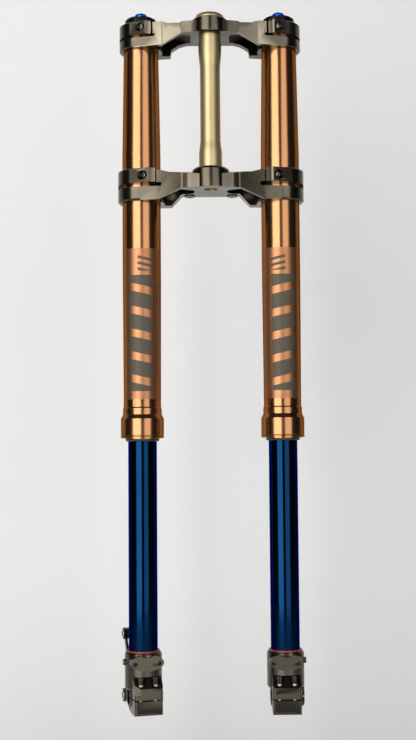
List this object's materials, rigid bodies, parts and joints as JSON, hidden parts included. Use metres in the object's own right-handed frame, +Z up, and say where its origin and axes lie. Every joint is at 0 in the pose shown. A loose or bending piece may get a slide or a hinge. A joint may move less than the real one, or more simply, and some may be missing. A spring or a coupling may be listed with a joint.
{
  "type": "motorcycle suspension fork",
  "caption": "Upside-down telescopic fork: legs with copper outer and blue inner tubes, held by two billet clamps on a hollow steering stem.",
  "frame": {"origin": "on the steering axis, at the bearing seat on top of the lower clamp", "axes": "+Z up along the steering stem, +X to the right leg, +Y from the stem to the legs"},
  "size_m": [0.2809, 0.0997, 1.048],
  "materials": {
    "clamp_metal": "hard-anodised gunmetal, satin",
    "stem_gold": "champagne anodised, satin",
    "bolt_steel": "polished steel",
    "copper_anodised": "polished copper-brown anodised with a satin band",
    "cap_black": "black anodised",
    "knob_blue": "bright blue anodised",
    "rubber_black": "matte",
    "spacer_alu": "turned",
    "spring_steel": "shot-peened, oiled",
    "inner_steel": "ground",
    "bush_bronze": "coated bronze",
    "blue_tube": "blue coated, mirror gloss",
    "lug_metal": "dark hard-anodised, semi-gloss",
    "ring_red": "red",
    "damper_alu": "machined"
  },
  "bodies": {
    "clamps_and_outer_tubes": {"upper_clamp": "clamp_metal", "lower_clamp": "clamp_metal", "steering_stem": "stem_gold", "stem_nut": "stem_gold", "bearing_spacer": "stem_gold", "upper_clamp_bolts": "bolt_steel", "lower_clamp_bolts": "bolt_steel", "left_outer_tube": "copper_anodised", "left_fork_cap": "cap_black", "left_cap_o_ring": "rubber_black", "left_preload_spacer": "spacer_alu", "left_main_spring": "spring_steel", "left_damper_rod": "inner_steel", "left_damper_piston": "bush_bronze", "left_outer_bush": "bush_bronze", "left_seal_washer": "inner_steel", "left_oil_seal": "rubber_black", "left_seal_clip": "inner_steel", "left_dust_seal": "rubber_black", "right_outer_tube": "copper_anodised", "right_fork_cap": "cap_black", "right_cap_o_ring": "rubber_black", "right_preload_spacer": "spacer_alu", "right_main_spring": "spring_steel", "right_damper_rod": "inner_steel", "right_damper_piston": "bush_bronze", "right_outer_bush": "bush_bronze", "right_seal_washer": "inner_steel", "right_oil_seal": "rubber_black", "right_seal_clip": "inner_steel", "right_dust_seal": "rubber_black"},
    "left_slider": {"left_guide_bush": "bush_bronze"},
    "left_lower_leg": {"left_inner_tube": "blue_tube", "left_axle_lug": "lug_metal", "left_lug_ring": "ring_red", "left_axle_bolts": "bolt_steel", "left_damper_tube": "damper_alu", "left_damper_head": "damper_alu", "left_damper_foot": "damper_alu", "left_caliper_bushes": "bolt_steel"},
    "left_knob": {"left_adjuster_knob": "knob_blue"},
    "right_slider": {"right_guide_bush": "bush_bronze"},
    "right_lower_leg": {"right_inner_tube": "blue_tube", "right_axle_lug": "lug_metal", "right_lug_ring": "ring_red", "right_axle_bolts": "bolt_steel", "right_damper_tube": "damper_alu", "right_damper_head": "damper_alu", "right_damper_foot": "damper_alu"},
    "right_knob": {"right_adjuster_knob": "knob_blue"}
  },
  "joints": [
    {"name": "left_leg_travel", "type": "slide", "parent": "clamps_and_outer_tubes", "child": "left_slider", "axis": [0, 0, 1], "range_m": [0, 0.29], "stiffness_N_per_m": 4700, "springref_m": -0.012, "deforming": ["left_main_spring"]},
    {"name": "left_leg_twist", "type": "hinge", "parent": "left_slider", "child": "left_lower_leg", "pos_m": [-0.105, 0.025, -0.78], "axis": [0, 0, 1], "continuous": true},
    {"name": "left_adjuster_turn", "type": "hinge", "parent": "clamps_and_outer_tubes", "child": "left_knob", "pos_m": [-0.105, 0.025, 0.236], "axis": [0, 0, 1], "range_deg": [-540, 540]},
    {"name": "right_leg_travel", "type": "slide", "parent": "clamps_and_outer_tubes", "child": "right_slider", "axis": [0, 0, 1], "range_m": [0, 0.29], "stiffness_N_per_m": 4700, "springref_m": -0.012, "deforming": ["right_main_spring"]},
    {"name": "right_leg_twist", "type": "hinge", "parent": "right_slider", "child": "right_lower_leg", "pos_m": [0.105, 0.025, -0.78], "axis": [0, 0, 1], "continuous": true},
    {"name": "right_adjuster_turn", "type": "hinge", "parent": "clamps_and_outer_tubes", "child": "right_knob", "pos_m": [0.105, 0.025, 0.236], "axis": [0, 0, 1], "range_deg": [-540, 540]}
  ]
}
